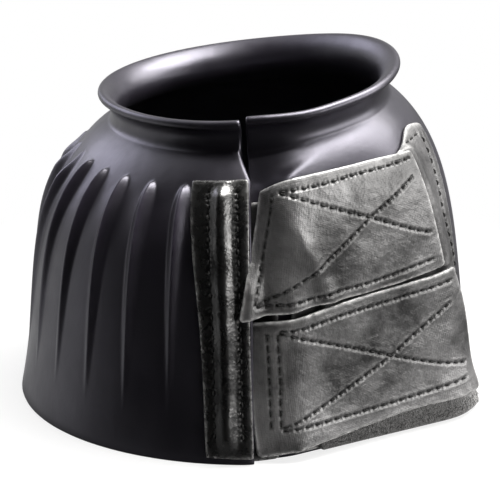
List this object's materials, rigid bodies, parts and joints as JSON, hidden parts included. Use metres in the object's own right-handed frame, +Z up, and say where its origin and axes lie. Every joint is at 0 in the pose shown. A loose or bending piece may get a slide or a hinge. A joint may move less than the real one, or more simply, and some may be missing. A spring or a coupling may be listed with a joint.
{
  "type": "bell boot",
  "caption": "Pull-on rubber bell boot for a horse's hoof: ribbed flared bell with a rolled collar, split at the front and closed by touch-tape straps.",
  "frame": {"origin": "on the ground under the middle of the boot's box, level with the bell's flat lower rim", "axes": "+Z up through the collar, -Y to the front where the slit and the straps are, +X to the side the straps close towards"},
  "size_m": [0.1574, 0.1576, 0.1215],
  "materials": {
    "bell_rubber": "satin black moulded rubber",
    "facing_vinyl": "glossy black vinyl",
    "strap_leather": "black synthetic leather, fine grain",
    "loop_fleece": "black brushed loop tape",
    "hook_tape": "black woven hook tape",
    "stitch_thread": "black sewing thread"
  },
  "bodies": {
    "boot": {"bell_shell": "bell_rubber", "left_facing_strip": "facing_vinyl", "facing_strip_stitching": "stitch_thread", "anchor_tongue": "strap_leather", "closure_panel": "facing_vinyl", "closure_panel_stitching": "stitch_thread", "upper_loop_tape": "loop_fleece", "lower_loop_tape": "loop_fleece", "upper_strap_sewn_end": "strap_leather", "lower_strap_sewn_end": "strap_leather", "upper_anchor_stitching": "stitch_thread", "lower_anchor_stitching": "stitch_thread"},
    "upper_free_strap": {"upper_strap": "strap_leather", "upper_hook_tape": "hook_tape", "upper_strap_stitching": "stitch_thread"},
    "lower_free_strap": {"lower_strap": "strap_leather", "lower_hook_tape": "hook_tape", "lower_strap_stitching": "stitch_thread"}
  },
  "joints": [
    {"name": "upper_strap_hinge", "type": "hinge", "parent": "boot", "child": "upper_free_strap", "pos_m": [0.01176, -0.06867, 0.0705], "axis": [0.0513, -0.1751, -0.9832], "range_deg": [0, 115]},
    {"name": "lower_strap_hinge", "type": "hinge", "parent": "boot", "child": "lower_free_strap", "pos_m": [0.01254, -0.07026, 0.02527], "axis": [0.0097, -0.0508, -0.9987], "range_deg": [0, 115]}
  ]
}
